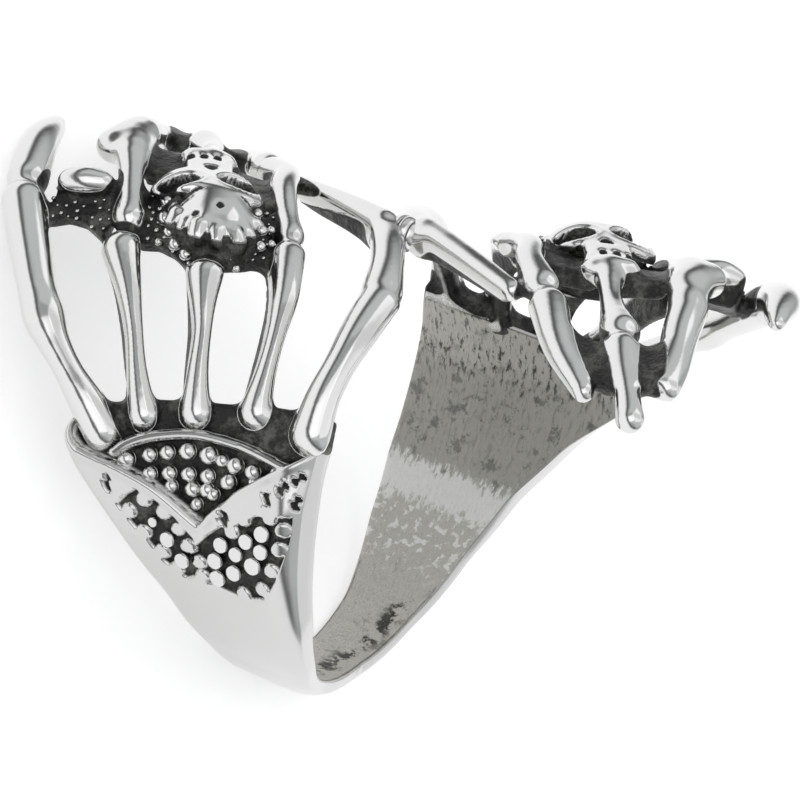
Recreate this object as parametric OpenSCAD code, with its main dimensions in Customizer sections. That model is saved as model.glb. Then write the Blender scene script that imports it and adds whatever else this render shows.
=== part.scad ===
/* [Finger hollow] */
// Diameter of the hollow that the finger goes through
hollow_d = 20; // [18:0.5:22]

/* [Shank and cuffs] */
// Wall at the bottom of the shank, from the hollow to its crown
shank_wall = 0.9; // [0.8:0.1:1.4]
// Wall of the cuffs, from the hollow to their smooth face
cuff_wall = 2.2; // [1.8:0.1:2.4]
// Wall at the thin edges of the shank
edge_wall = 0.5; // [0.4:0.1:0.8]
// Outward spread of a cuff for each mm towards its hand's outer side
flare = 0.3; // [0.2:0.02:0.34]
// Half thickness of the raised borders on a cuff
border_half = 0.35; // [0.25:0.05:0.45]

/* [Hands] */
// Thickness of the bones against the sizes in their tables
bone_scale = 1; // [0.9:0.05:1.1]
// Half thickness of the dark web that joins the bones
web_half = 0.5; // [0.4:0.05:0.6]

/* [Skulls] */
// Width of a skull across its temples
skull_w = 5; // [4.6:0.1:5.2]
// Height of a skull's face above the ring's centre
skull_top = 12.5; // [12.3:0.1:12.8]

/* [Hidden] */
hollow_r = hollow_d / 2;
bone_sides = 8;
border_sides = 6;
web_sides = 6;

// Columns of the shank's table. The turn is counted from the bottom of the ring up the
// left side, and the edges are places along the finger. The right side is the same
// turned half round the upright axis.
EDGE_TURN = 0;
EDGE_NEAR = 1;
EDGE_FAR = 2;
EDGE_CROWN = 3;
SHANK = [
    [0, -1.5, 1.5, 0],
    [25, -2.2, 1.5, 0],
    [50, -3.5, 2, 0.2],
    [69, -4, 2.9, 0.6],
    [85, -3.9, 4.5, 0.95],
    [92, -3.8, 5.8, 1],
    [97.5, -3.7, 7, 1],
    [102, -3.6, 7.4, 1],
    [106, -3.5, 6.4, 0.7],
    [110, -3.4, 5, 0.4],
    [114, -3.4, 3.3, 0.3],
    [117, -3.3, 0.9, 0.2],
    [120, -3.1, -1.6, 0]
];
shank_end = 120;
shank_stations = 42;

// Columns of a bone's table: turn from the top of the ring down the hand's own
// shoulder, place along the finger, depth of the centre below the hand's outer
// surface, and half thickness.
TURN = 0;
ALONG = 1;
SINK = 2;
HALF = 3;

little_bones = [
    [77.4, 5.85, 0.7, 0.88],
    [73.2, 6.7, 0.4, 0.8],
    [68.9, 7.9, 0.25, 0.65],
    [64.9, 9.1, 0.25, 0.75],
    [61.5, 10, 0.3, 0.95],
    [57.5, 10.9, 0.4, 0.86],
    [51.2, 12.2, 0.6, 0.93],
    [43, 13.9, 0.75, 1]
];
little_claw = [
    [37.7, 14.6, 0.9, 0.95],
    [33, 15.2, 1.1, 0.9],
    [26.8, 15.95, 1.4, 0.75],
    [20.2, 16.6, 1.8, 0.45],
    [14.8, 17.1, 2, 0.2]
];
oval_bone = [
    [35.4, 12.6, 0.35, 0.55],
    [34, 12.05, 0.3, 0.66],
    [32.6, 11.35, 0.35, 0.55]
];
ring_metacarpal = [
    [71.9, 4.5, 0.85, 0.75],
    [64, 5.5, 0.8, 0.5],
    [57, 6.4, 0.8, 0.45],
    [50, 7.5, 0.8, 0.62],
    [43.5, 8.8, 0.9, 0.92]
];
ring_finger = [
    [36.5, 9.4, 0.7, 0.75],
    [31.6, 10.1, 0.7, 0.6],
    [25.7, 11, 0.7, 0.6],
    [17.6, 12.3, 0.8, 0.9],
    [7.4, 13.4, 1.1, 0.85]
];
ring_knuckle = [
    [20.2, 12.9, 0.85, 0.8],
    [11, 12.8, 0.85, 0.8]
];
ring_tip = [
    [5, 13.7, 1.25, 0.88],
    [-3.5, 14.3, 1.35, 0.8],
    [-13, 15.05, 1.6, 0.7],
    [-19.8, 15.45, 1.65, 0.62]
];
middle_metacarpal = [
    [67.9, 2.4, 0.85, 0.75],
    [60, 3, 0.8, 0.52],
    [52.3, 3.6, 0.8, 0.44],
    [46.7, 4.2, 0.8, 0.6],
    [40.9, 4.9, 0.9, 0.9]
];
middle_finger = [
    [9.8, 9.2, 0.9, 0.7],
    [-0.8, 10.6, 1, 0.5],
    [-9.9, 12.1, 1.2, 0.9]
];
middle_knuckle = [
    [7.5, 8.7, 0.8, 0.5],
    [11.7, 9.9, 0.8, 0.5]
];
middle_tip = [
    [-16.8, 13, 1.2, 0.72],
    [-26, 14.2, 1.3, 0.55],
    [-33.6, 15.2, 1.3, 0.63]
];
index_metacarpal = [
    [63.3, 0, 0.85, 0.78],
    [54.5, 0.3, 0.8, 0.5],
    [46.1, 0.7, 0.8, 0.48],
    [37.8, 1.3, 0.9, 0.66],
    [26.4, 2.7, 1.4, 0.84]
];
index_finger = [
    [20.8, 3.3, 1.2, 0.64],
    [16.1, 4.1, 1, 0.5],
    [8.3, 5.4, 0.7, 0.6],
    [1, 6.3, 0.7, 0.65],
    [-4.5, 7.6, 1, 0.82]
];
index_tip = [
    [-10, 8.6, 1.2, 0.88],
    [-22, 10.5, 1.25, 0.7],
    [-31.2, 12.7, 1.3, 0.49]
];
thumb_metacarpal = [
    [63.3, -2.8, 0.95, 0.95],
    [55.7, -2.7, 0.8, 0.82],
    [47.7, -2.7, 0.8, 0.76],
    [39.7, -2.6, 0.95, 0.9],
    [29.3, -2.3, 1.35, 1.02]
];
thumb_finger = [
    [24.5, -1.9, 1.35, 0.92],
    [16, -1.1, 1.3, 0.78],
    [8.5, -0.2, 1.25, 0.78],
    [2, 0.7, 1.3, 0.82]
];
thumb_bar = [
    [2, 0.9, 0.9, 0.62],
    [-8, 6.5, 1.3, 0.52]
];
// Four bones of the palm reach in to the hollow's wall. The outermost one and the bones
// of the fingers are round.
PALM = [ring_metacarpal, middle_metacarpal, index_metacarpal, thumb_metacarpal];
FINGERS = [
    little_bones, little_claw, oval_bone, ring_finger, ring_knuckle, ring_tip, middle_finger,
    middle_knuckle, middle_tip, index_finger, index_tip, thumb_finger, thumb_bar
];
// Half thickness of a palm bone's foot, and how far it leans to the little finger's side
foot_half = 0.45;
foot_lean = 0.8;

// Corners of each patch of web, as turn, place along the finger and depth
WEBS = [
    [[41.3, 13.1, 1.3], [34.5, 13.2, 1.3], [30.5, 10.6, 1.3], [38.4, 10.2, 1.3]],
    [[37.6, 8.7, 1.3], [37, 5.8, 1.3], [26, 6.8, 1.3], [28, 10, 1.3]],
    [[34.5, 5.2, 1.3], [29, 3.2, 1.3], [18, 4.6, 1.3], [27, 6.8, 1.3]],
    [[23, 10.8, 1.4], [13, 11.8, 1.4], [7, 10, 1.4], [16, 9, 1.4]],
    [[16, 4.6, 1.4], [4, 6.3, 1.4], [7, 9, 1.4], [18, 7, 1.4]],
    [[6, 0.8, 1.6], [1, 0.9, 1.4], [-8, 6.2, 1.6], [-3, 4.6, 1.9]],
    [[-16, 10.4, 1.5], [-27, 12, 1.5], [-28, 13.6, 1.5], [-17, 12.8, 1.5]],
    [[-13, 13.4, 1.5], [-25, 14.6, 1.5], [-20, 15.3, 1.5], [-8, 14.4, 1.5]]
];

// Border of the V that hangs over a cuff, and of the arc behind it
cuff_v = [
    [80.6, 6.9], [81, 5.1], [82.9, 3.4], [86.1, 1.8], [89.6, 0.8],
    [85.5, -0.1], [81.6, -0.3], [73, -2.3], [63.6, -4]
];
cuff_arc = [
    [79.2, 4.8], [74.8, 3.7], [71.3, 2.0], [69.8, 0.2], [70.5, -1.8], [71.5, -2.6]
];

// Share of the flare at a turn off the top: all of it at the cuff, and none on the
// side where the fingertips hang or at the bottom of the shank
FLARED = [
    [-5, 0], [15, 0.33], [38, 0.5], [60, 0.67], [80, 1], [95, 0.83], [112, 0.17], [130, 0]
];
function spread(turn, along) = flare * max(along, 0) * lookup(turn, FLARED);

// Radius of a hand's outer surface
function crest(turn, along) = hollow_r + cuff_wall + spread(turn, along);

// Point at a radius, from its turn off the top and its place along the finger
function around(turn, along, radius) = [-radius * sin(turn), along, radius * cos(turn)];

function seat(row) = around(row[TURN], row[ALONG], crest(row[TURN], row[ALONG]) - row[SINK]);

// Centre of a bone's foot, against the hollow's wall and on the side of the little finger
function foot(row) = around(
    row[TURN],
    row[ALONG] + foot_lean,
    crest(row[TURN], row[ALONG]) - cuff_wall + 1.2 * foot_half
);

module bone(rows, footed) {
    for (i = [1 : len(rows) - 1])
        hull()
            for (row = [rows[i - 1], rows[i]]) {
                translate(seat(row))
                    sphere(r = row[HALF] * bone_scale, $fn = bone_sides);
                if (footed)
                    translate(foot(row))
                        sphere(r = foot_half, $fn = web_sides);
            }
}

module web(corners) {
    hull()
        for (corner = corners)
            translate(seat(corner))
                sphere(r = web_half, $fn = web_sides);
}

module border(places) {
    for (i = [1 : len(places) - 1])
        hull()
            for (place = [places[i - 1], places[i]])
                translate(around(place[0], place[1], crest(place[0], place[1])))
                    sphere(r = border_half, $fn = border_sides);
}

// Shank and cuffs: stations from one cuff round the bottom to the other
function shank_value(turn, column) =
    lookup(abs(turn), [for (row = SHANK) [row[EDGE_TURN], row[column]]]);

function shank_point(turn, share, outer) =
    let (
        side = turn < 0 ? -1 : 1,
        across = turn < 0 ? 1 - share : share,
        near = shank_value(turn, EDGE_NEAR),
        far = shank_value(turn, EDGE_FAR),
        crown = shank_value(turn, EDGE_CROWN),
        along = near + (far - near) * across,
        dome = 1 - pow(abs(2 * across - 1), 3),
        top = shank_wall + (cuff_wall - shank_wall) * crown,
        rim = edge_wall + (cuff_wall - edge_wall) * crown * (0.45 + 0.3 * across),
        wall = rim + (top - rim) * dome,
        radius = hollow_r + spread(180 - abs(turn), along) + (outer ? wall : 0)
    )
    [-radius * sin(turn), side * along, -radius * cos(turn)];

outer_shares = [0, 0.2, 0.5, 0.8, 1];
inner_shares = [1, 0.75, 0.5, 0];
ring_points = len(outer_shares) + len(inner_shares);

function shank_section(turn) = concat(
    [for (share = outer_shares) shank_point(turn, share, true)],
    [for (share = inner_shares) shank_point(turn, share, false)]
);

module shank() {
    turns = [for (i = [0 : shank_stations]) shank_end * (2 * i / shank_stations - 1)];
    points = [for (turn = turns) each shank_section(turn)];
    last = shank_stations * ring_points;
    walls = [
        for (i = [0 : shank_stations - 1], k = [0 : ring_points - 1])
            let (
                next = (k + 1) % ring_points,
                a = i * ring_points + k,
                b = i * ring_points + next,
                c = a + ring_points,
                d = b + ring_points
            )
            each [[a, b, d], [a, d, c]]
    ];
    start_cap = [for (k = [ring_points - 1 : -1 : 0]) k];
    end_cap = [for (k = [0 : ring_points - 1]) last + k];
    polyhedron(points = points, faces = concat(walls, [start_cap, end_cap]));
}

// Skull that lies face up on the palm, crown towards its own shoulder
skull_place = [-5.2, 7.1];
skull_heading = 35;
// The low dome of its crown leans back with the hand's outer surface
cap_back = -1.1;
cap_below = 2;
cap_tilt = 26;

module lobe(along, below, radii) {
    translate([along, 0, skull_top - below])
        scale(radii)
            sphere(r = 1, $fn = 14);
}

module skull() {
    difference() {
        translate([skull_place[0], skull_place[1], 0])
            rotate([0, 0, skull_heading])
                difference() {
                    union() {
                        translate([cap_back, 0, skull_top - cap_below])
                            rotate([0, -cap_tilt, 0])
                                scale([2.1, skull_w / 2 - 0.6, 1.25])
                                    sphere(r = 1, $fn = 14);
                        lobe(0.4, 1.1, [1.6, skull_w / 2 - 0.1, 1.1]);
                        hull() {
                            lobe(1.6, 1.1, [1, 1.4, 0.9]);
                            lobe(3.4, 0.9, [0.8, 1.2, 0.8]);
                        }
                    }
                    for (side = [-1, 1])
                        translate([0.65, side * 1.3, skull_top - 0.2])
                            rotate([0, 0, side * 15])
                                scale([0.6, 0.95, 1])
                                    sphere(r = 1, $fn = 10);
                    translate([1.7, 0, skull_top])
                        rotate([0, 0, 180])
                            cylinder(r = 0.5, h = 1, center = true, $fn = 3);
                }
        rotate([90, 0, 0])
            cylinder(r = hollow_r + 0.1, h = 30, center = true, $fn = 48);
    }
}

module hand() {
    for (rows = PALM)
        bone(rows, true);
    for (rows = FINGERS)
        bone(rows, false);
    for (corners = WEBS)
        web(corners);
    skull();
    border(cuff_v);
    border(cuff_arc);
}

// Small ball where the bars of the two hands meet, at the top of the ring
ball_rise = 1;
ball_half = 0.85;

// The ring lies on the fingers of one hand and on its shank's edge. The turns lay it
// down so, and the shift brings the middle of its underside to the origin.
lay_turns = [-54.1, -2.1, 0];
lay_shift = [0.05, -5.04, 7.43];

module ring() {
    color("silver")
        translate(lay_shift)
            rotate(lay_turns) {
                shank();
                for (turned = [0, 180])
                    rotate([0, 0, turned])
                        hand();
                translate([0, 0, hollow_r + ball_rise])
                    sphere(r = ball_half, $fn = 12);
            }
}

ring();
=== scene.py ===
import math

import bmesh
import bpy
import numpy as np
from mathutils import Matrix, Vector


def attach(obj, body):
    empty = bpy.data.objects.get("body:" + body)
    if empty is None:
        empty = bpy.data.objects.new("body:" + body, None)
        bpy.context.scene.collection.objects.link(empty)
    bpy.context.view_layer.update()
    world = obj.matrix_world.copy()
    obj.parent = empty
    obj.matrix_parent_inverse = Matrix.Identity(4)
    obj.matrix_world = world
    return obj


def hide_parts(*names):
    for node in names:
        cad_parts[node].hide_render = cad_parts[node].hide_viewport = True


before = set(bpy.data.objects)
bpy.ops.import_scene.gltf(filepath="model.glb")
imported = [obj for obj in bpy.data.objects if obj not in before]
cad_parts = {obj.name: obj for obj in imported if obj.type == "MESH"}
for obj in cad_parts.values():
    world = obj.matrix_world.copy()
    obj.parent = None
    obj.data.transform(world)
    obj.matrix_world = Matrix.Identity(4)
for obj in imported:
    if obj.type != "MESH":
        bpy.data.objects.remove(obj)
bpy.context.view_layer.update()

# Shank and cuffs: the band that goes round the finger, of silver-coloured metal, cast in one with
# all the rest. It is thin and domed below and widens to a polished cuff on each side, with sunk
# fields for the beads. Its inner wall is left rough, as it came from the mould.

# Sizes are in mm and turns in degrees, on the ring as it is worn: the finger along Y, the hands
# on top. Two turns, about X and then about Y, and a shift lay it on its side
MM = 0.001
LAY_TURNS = (-54.1, -2.1)
LAY_SHIFT = np.array([0.05, -5.04, 7.43])
HOLLOW_R = 10.0
SHANK_WALL = 0.9
CUFF_WALL = 2.2
EDGE_WALL = 0.5
THINNEST_WALL = 0.32
# Round between the band's sides and its inner wall, by these turns
FILLET = 0.14
QUARTER = np.radians([0, 30, 60, 90])
# How far the hollow and the cuffs widen for each mm along the finger, where they widen most
FLARE = 0.3
# Turn from the bottom, near edge, far edge, share of the cuff's height
SHANK = np.array([
    [0, -1.5, 1.5, 0],
    [25, -2.2, 1.5, 0],
    [50, -3.5, 2.0, 0.2],
    [69, -4.0, 2.9, 0.6],
    [85, -3.9, 4.5, 0.95],
    [92, -3.8, 5.8, 1],
    [97.5, -3.7, 7.0, 1],
    [102, -3.6, 7.4, 1],
    [106, -3.5, 6.9, 0.8],
    [110, -3.4, 5.0, 0.8],
    [114, -3.4, 3.3, 0.6],
    [117, -3.3, 0.9, 0.4],
    [120, -3.1, -1.6, 0.3],
])
SHANK_SOFTNESS = 2.5
# Where the shank ends and where the band does, with the turn from one station to the next
SHANK_END, SHANK_STEP = 58, 1.2
BAND_END, CUFF_STEP = 118, 0.4
# Loops along the band outside and inside, and how closely the outer ones crowd at the edges
LOOPS_OUTSIDE, LOOPS_INSIDE = 161, 24
CROWDING = 0.7
# Share of a cuff's wall at its near and far edge, and how far in from them it rounds over, which
# is less on the narrow shank
NEAR_RIM, NEAR_ROLL = 0.42, 1.1
FAR_RIM, FAR_ROLL = 0.72, 0.6
ROLL_OF_WIDTH = 0.45
# Turn off the top and share of the flare there
FLARED = np.array([
    [-5, 0], [15, 0.33], [38, 0.5], [60, 0.67], [80, 1], [95, 0.83], [112, 0.17], [130, 0],
])
FLARE_SOFTNESS = 3.0
# Places on a cuff, as turn off the top and place along the finger
V_FAR_ARM = [
    [76.2, 6.9], [78.5, 7.0], [80.8, 6.6], [81.6, 5.6], [82.1, 4.6], [83.5, 3.2], [85.1, 2.3],
    [87.4, 1.4], [89.2, 0.7],
]
V_NEAR_ARM = [
    [89.2, 0.7], [85.7, 0.3], [83.1, -0.2], [80.0, -0.6], [76.7, -1.3], [73.2, -2.0],
    [69.5, -2.9], [66.4, -3.3], [63.8, -3.6],
]
CUFF_ARC = [
    [80.0, 4.9], [77.6, 4.5], [75.1, 3.7], [72.2, 2.2], [71.4, 1.2], [71.1, 0.0],
    [71.4, -1.2], [72.1, -2.4],
]
RIGHT_WING = [
    [94.3, 0.8], [91.0, 0.3], [88.4, -0.2], [86.8, -0.9], [85.2, -1.4], [83.2, -1.8],
    [82.6, -2.4], [81.6, -3.0], [81.0, -3.4], [84.2, -3.5], [87.6, -3.5], [90.6, -3.4],
    [95.5, -3.2], [99.0, -2.9], [101.1, -2.6], [102.4, -2.0], [103.1, -1.1], [102.9, 0.3],
    [100.3, 0.6], [98.6, 0.9], [96.9, 0.8],
]
LEFT_WING = [
    [85.6, 3.6], [87.2, 4.0], [89.6, 4.3], [92.8, 3.6], [95.7, 2.9], [100, 2.3], [103.2, 1.3],
    [101.4, 0.7], [98.6, 0.7], [95.1, 0.7], [92.4, 0.95], [89.2, 1.8], [87.0, 2.6],
]
# Small pits beside the wings: one end, the other end and half the width
PITS = [
    [[72.4, -3.2], [73.9, -3.0], 0.13], [[75.3, -2.7], [76.6, -2.6], 0.17],
    [[78.3, -2.1], [79.7, -2.2], 0.16], [[77.3, -3.3], [78.9, -3.35], 0.13],
    [[85.1, 4.9], [86.9, 4.8], 0.12], [[85.2, -0.3], [86.9, -0.4], 0.17],
]
# Beads at a wing's edge that run into the smooth face: turn, place along the finger, radius
EDGE_BEADS = [
    [88.2, -0.8, 0.36], [84.6, -1.3, 0.34], [82.2, -2.5, 0.36], [84.0, -3.2, 0.34],
    [88.2, -3.2, 0.34], [93.3, -3.0, 0.34], [98.7, -2.6, 0.36], [102.0, -1.6, 0.36],
    [98.0, 0.6, 0.34], [101.3, 0.5, 0.34], [87.1, 3.2, 0.34], [90.4, 3.8, 0.34],
    [88.6, 2.3, 0.33], [94.1, 3.1, 0.34], [91.5, 1.6, 0.30], [94.8, 1.1, 0.36],
    [97.8, 2.3, 0.36], [101.4, 1.7, 0.34],
]
# How far under the cuff's face its palm side lies, which carries the round beads and the bones,
# and how far the wings and the pits lie, whose outlines are uneven
PLATE_DROP = 0.85
WING_DROP = 0.28
PIT_WOBBLE = 0.07
# The raised lip of the V: its height, its middle's place outside the V and its half width
V_RISE, V_SET, V_HALF = 0.14, 0.16, 0.2
# The raised arc: how far it stands over the cuff's face, and its half width
ARC_RISE, ARC_HALF = 0.08, 0.27
TURN_MM = math.radians(1) * (HOLLOW_R + CUFF_WALL)
# Turns that a table is spread out on before its corners are rounded off
EVEN_STEP = 0.5
EVEN_TURNS = np.arange(-140, 221, EVEN_STEP)


def soften(places, values, width):
    """Values of a table at the even turns, with its corners rounded off."""
    steps = np.arange(-3 * width, 3 * width + EVEN_STEP, EVEN_STEP)
    bell = np.exp(-0.5 * (steps / width) ** 2)
    even = np.interp(EVEN_TURNS, places, values)
    padded = np.pad(even, len(steps) // 2, mode="edge")
    return np.convolve(padded, bell / bell.sum(), mode="valid")


FLARE_SHARES = soften(FLARED[:, 0], FLARED[:, 1], FLARE_SOFTNESS)


def smooth_step(low, high, value):
    share = np.clip((value - low) / (high - low), 0, 1)
    return share * share * (3 - 2 * share)


def spread(turn, along):
    return FLARE * np.maximum(along, 0) * np.interp(turn, EVEN_TURNS, FLARE_SHARES)


def crest(turn, along):
    """Radius of a hand's and a cuff's outer surface."""
    return HOLLOW_R + CUFF_WALL + spread(turn, along)


def around(turn, along, radius):
    angle = np.radians(turn)
    return np.stack([-radius * np.sin(angle), along + 0 * radius, radius * np.cos(angle)], -1)


def lie(points):
    """Points in mm on the upright ring, as metres on the ring that lies on its side."""
    tip, roll = np.radians(LAY_TURNS)
    about_x = np.array([
        [1, 0, 0], [0, math.cos(tip), -math.sin(tip)], [0, math.sin(tip), math.cos(tip)],
    ])
    about_y = np.array([
        [math.cos(roll), 0, math.sin(roll)], [0, 1, 0], [-math.sin(roll), 0, math.cos(roll)],
    ])
    return (points @ (about_y @ about_x).T + LAY_SHIFT) * MM


def line_distance(turn, along, places, scale=TURN_MM):
    """Distance in mm to a line through places, where one unit of turn is scale mm."""
    x, y = turn * scale, along
    nearest = np.full(np.shape(x), 1e3)
    for (t0, a0), (t1, a1) in zip(places[:-1], places[1:]):
        ex, ey = (t1 - t0) * scale, a1 - a0
        px, py = x - t0 * scale, y - a0
        share = np.clip((px * ex + py * ey) / (ex * ex + ey * ey), 0, 1)
        nearest = np.minimum(nearest, np.hypot(px - share * ex, py - share * ey))
    return nearest


def field_distance(turn, along, corners, scale=TURN_MM):
    """Distance in mm to a field's outline, below 0 inside it."""
    inside = np.zeros(np.shape(turn), bool)
    for (t0, a0), (t1, a1) in zip(corners, corners[1:] + corners[:1]):
        crossed = (a0 > along) != (a1 > along)
        at = t0 + (along - a0) / (a1 - a0 + 1e-12) * (t1 - t0)
        inside ^= crossed & (turn < at)
    edge = line_distance(turn, along, corners + corners[:1], scale)
    return np.where(inside, -edge, edge)


def rounded(places, rounds=2):
    """A line of places with its corners cut off, its two ends kept."""
    line = np.array(places, float)
    for _ in range(rounds):
        first = line[:-1] * 0.75 + line[1:] * 0.25
        second = line[:-1] * 0.25 + line[1:] * 0.75
        line = np.concatenate([line[:1], np.stack([first, second], 1).reshape(-1, 2), line[-1:]])
    return line.tolist()


ARC_LINE = rounded(CUFF_ARC)
V_LINE = rounded(V_FAR_ARM, 1) + rounded(V_NEAR_ARM, 1)[1:]
# All that lies on the palm's side of the V
PALM_SIDE = V_LINE + [[40, -4.2], [40, 9]]


def cuff_relief(turn, along):
    """Height of the cuff's surface over its plain face, and how dark it is there."""
    palm = -field_distance(turn, along, PALM_SIDE)
    lip = V_RISE * np.exp(-((palm + V_SET) / V_HALF) ** 2)
    sunk = smooth_step(-0.02, 0.2, palm)
    height = lip * (1 - sunk) - PLATE_DROP * sunk
    off = line_distance(turn, along, ARC_LINE) / ARC_HALF
    ridge = -PLATE_DROP + (PLATE_DROP + ARC_RISE) * np.clip(1 - off * off, 0, 1) ** 0.4
    on_arc = (off < 1) & (ridge > height)
    height = np.where(on_arc, ridge, height)
    dark = np.where(on_arc, smooth_step(0.55, 1.0, off), sunk)
    beads = np.full(np.shape(turn), -9.0)
    for t, a, half in EDGE_BEADS:
        beads = np.maximum(beads, half - np.hypot((turn - t) * TURN_MM, along - a))
    sunk_parts = [
        np.maximum(field_distance(turn, along, corners), beads)
        for corners in (RIGHT_WING, LEFT_WING)
    ]
    wobble = PIT_WOBBLE * np.sin(15 * turn * TURN_MM + 10 * along)
    sunk_parts += [line_distance(turn, along, [a, b]) - half + wobble for a, b, half in PITS]
    for edge in sunk_parts:
        within = smooth_step(-0.04, 0.06, -edge)
        height = height - WING_DROP * within
        dark = np.maximum(dark, within)
    return height, dark


def put_object(name, data):
    made = bpy.data.objects.new(name, data)
    bpy.context.scene.collection.objects.link(made)
    return made


def put_mesh(name, points, faces, **tones):
    """A smooth mesh from points in mm on the upright ring, its tones kept as attributes."""
    shape = bmesh.new()
    places = lie(np.asarray(points, float))
    mesh = bpy.data.meshes.new(name)
    mesh.from_pydata(places.tolist(), [], [list(map(int, face)) for face in faces])
    shape.from_mesh(mesh)
    # Faces that point inwards are turned round
    if shape.calc_volume(signed=True) < 0:
        bmesh.ops.reverse_faces(shape, faces=shape.faces)
        shape.to_mesh(mesh)
    shape.free()
    mesh.polygons.foreach_set("use_smooth", np.ones(len(faces), bool))
    for tone, values in tones.items():
        layer = mesh.attributes.new(tone, "FLOAT", "POINT")
        layer.data.foreach_set("value", np.asarray(values, np.float32))
    mesh.update()
    return put_object(name, mesh)


class Wire:
    """An output of a node, for writing sums with it."""

    def __init__(self, nodes, socket):
        self.nodes = nodes
        self.socket = socket

    def sum(self, operation, first, second):
        return self.nodes.add("ShaderNodeMath", {"operation": operation}, {0: first, 1: second})

    def __add__(self, other):
        return self.sum("ADD", self, other)

    __radd__ = __add__

    def __sub__(self, other):
        return self.sum("SUBTRACT", self, other)

    def __rsub__(self, other):
        return self.sum("SUBTRACT", other, self)

    def __mul__(self, other):
        return self.sum("MULTIPLY", self, other)

    __rmul__ = __mul__

    def __pow__(self, other):
        return self.sum("POWER", self, other)

    def __rpow__(self, other):
        return self.sum("POWER", other, self)


class Nodes:
    """A node tree that is written as sums and single nodes."""

    def __init__(self, tree):
        self.tree = tree
        tree.nodes.clear()

    def add(self, kind, settings=None, sockets=None, output=0):
        """A new node, as a wire from one of its outputs, or from each, by name, for None."""
        node = self.tree.nodes.new(kind)
        for setting, value in (settings or {}).items():
            setattr(node, setting, value)
        for socket, value in (sockets or {}).items():
            if isinstance(value, Wire):
                self.tree.links.new(value.socket, node.inputs[socket])
            else:
                node.inputs[socket].default_value = value
        if output is None:
            return {socket.name: Wire(self, socket) for socket in node.outputs}
        return Wire(self, node.outputs[output])

    def parts(self, vector):
        return self.add("ShaderNodeSeparateXYZ", {}, {0: vector}, output=None).values()

    def tone(self, name):
        return self.add("ShaderNodeAttribute", {"attribute_name": name}, output="Fac")

    def sine(self, value):
        return self.add("ShaderNodeMath", {"operation": "SINE"}, {0: value})

    def ramp(self, value, low, high):
        return self.add(
            "ShaderNodeMapRange",
            {"interpolation_type": "SMOOTHSTEP"},
            {0: value, 1: low, 2: high, 3: 0.0, 4: 1.0},
        )

    def between(self, value, start, stop):
        """1 between two borders, each given as where its change begins and ends, and 0 outside."""
        return self.ramp(value, *start) * (1 - self.ramp(value, *stop))

    def mix_colour(self, share, first, second):
        sockets = {0: share, 6: first, 7: second}
        return self.add("ShaderNodeMix", {"data_type": "RGBA"}, sockets, output=2)

    def noise(self, place, scale, detail, roughness=0.55):
        sockets = {"Vector": place, "Scale": scale, "Detail": detail, "Roughness": roughness}
        return self.add("ShaderNodeTexNoise", {}, sockets)


CAST_GREY = (0.66, 0.65, 0.60, 1)
# The grey of the rough inner wall where a highlight is painted on it
PAINTED_HIGHLIGHT_GREY = (0.97, 0.97, 0.95, 1)
# Black of the patina, which also serves as painted shade
PATINA_AND_SHADE_BLACK = (0.022, 0.021, 0.020, 1)
RUBBED_PATINA_AND_SHADE_BLACK = (0.12, 0.12, 0.11, 1)
# The inner wall on the map of the band, in mm round it from the bottom of the ring, where a
# highlight is painted in one band and glints in the next. Each border is where its change begins
# and where it ends, and all but two are ragged
DULL_FROM = (-21.0, -18.0)
HIGHLIGHT_FROM = (-12.6, -11.8)
GLINTS_FROM = (-10.4, -9.6)
GLINTS_TO = (-7.0, -5.0)
STAINED_TO = (-23.0, -19.0)
SEAM_FROM = (-8.0, -6.0)
SEAM_ACROSS = -0.6
RAGGED_MM = 5
STREAK_SCALE = (0.55, 1.9, 1.0)


def inner_wall(wall, fine, specks):
    """Streaks of the inner wall, its painted highlight and glints, and how dark it is marked."""
    band_map = wall.add("ShaderNodeUVMap", {"uv_map": "band"})
    stretched = wall.add("ShaderNodeMapping", {}, {"Vector": band_map, "Scale": STREAK_SCALE})
    streaks = wall.noise(stretched, scale=2.2, detail=6, roughness=0.7)
    way_round, way_across, _ = wall.parts(band_map)
    ragged = way_round + streaks * RAGGED_MM
    # Painted highlight: one band of the rough wall is made bright, and the next has painted glints
    polished = wall.between(ragged, HIGHLIGHT_FROM, GLINTS_FROM)
    painted_glint_band = wall.between(ragged, GLINTS_FROM, GLINTS_TO)
    painted_highlight = polished + painted_glint_band * wall.ramp(fine, 0.53, 0.62)
    dull = wall.between(ragged, DULL_FROM, HIGHLIGHT_FROM)
    upper = 1 - wall.ramp(way_round, *STAINED_TO)
    seam = wall.ramp(way_round, *SEAM_FROM) * math.e ** ((way_across - SEAM_ACROSS) ** 2 * -4)
    strokes = wall.ramp(streaks, 0.50, 0.62) * (upper * 0.5 + 0.12)
    spots = wall.ramp(specks, 0.53, 0.62) * (1 - painted_glint_band) * (1 - painted_highlight) * 0.3
    crumbs = wall.ramp(specks, 0.46, 0.56) * seam * 0.9
    return streaks, painted_highlight, strokes + spots + crumbs + dull * 0.3


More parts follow.
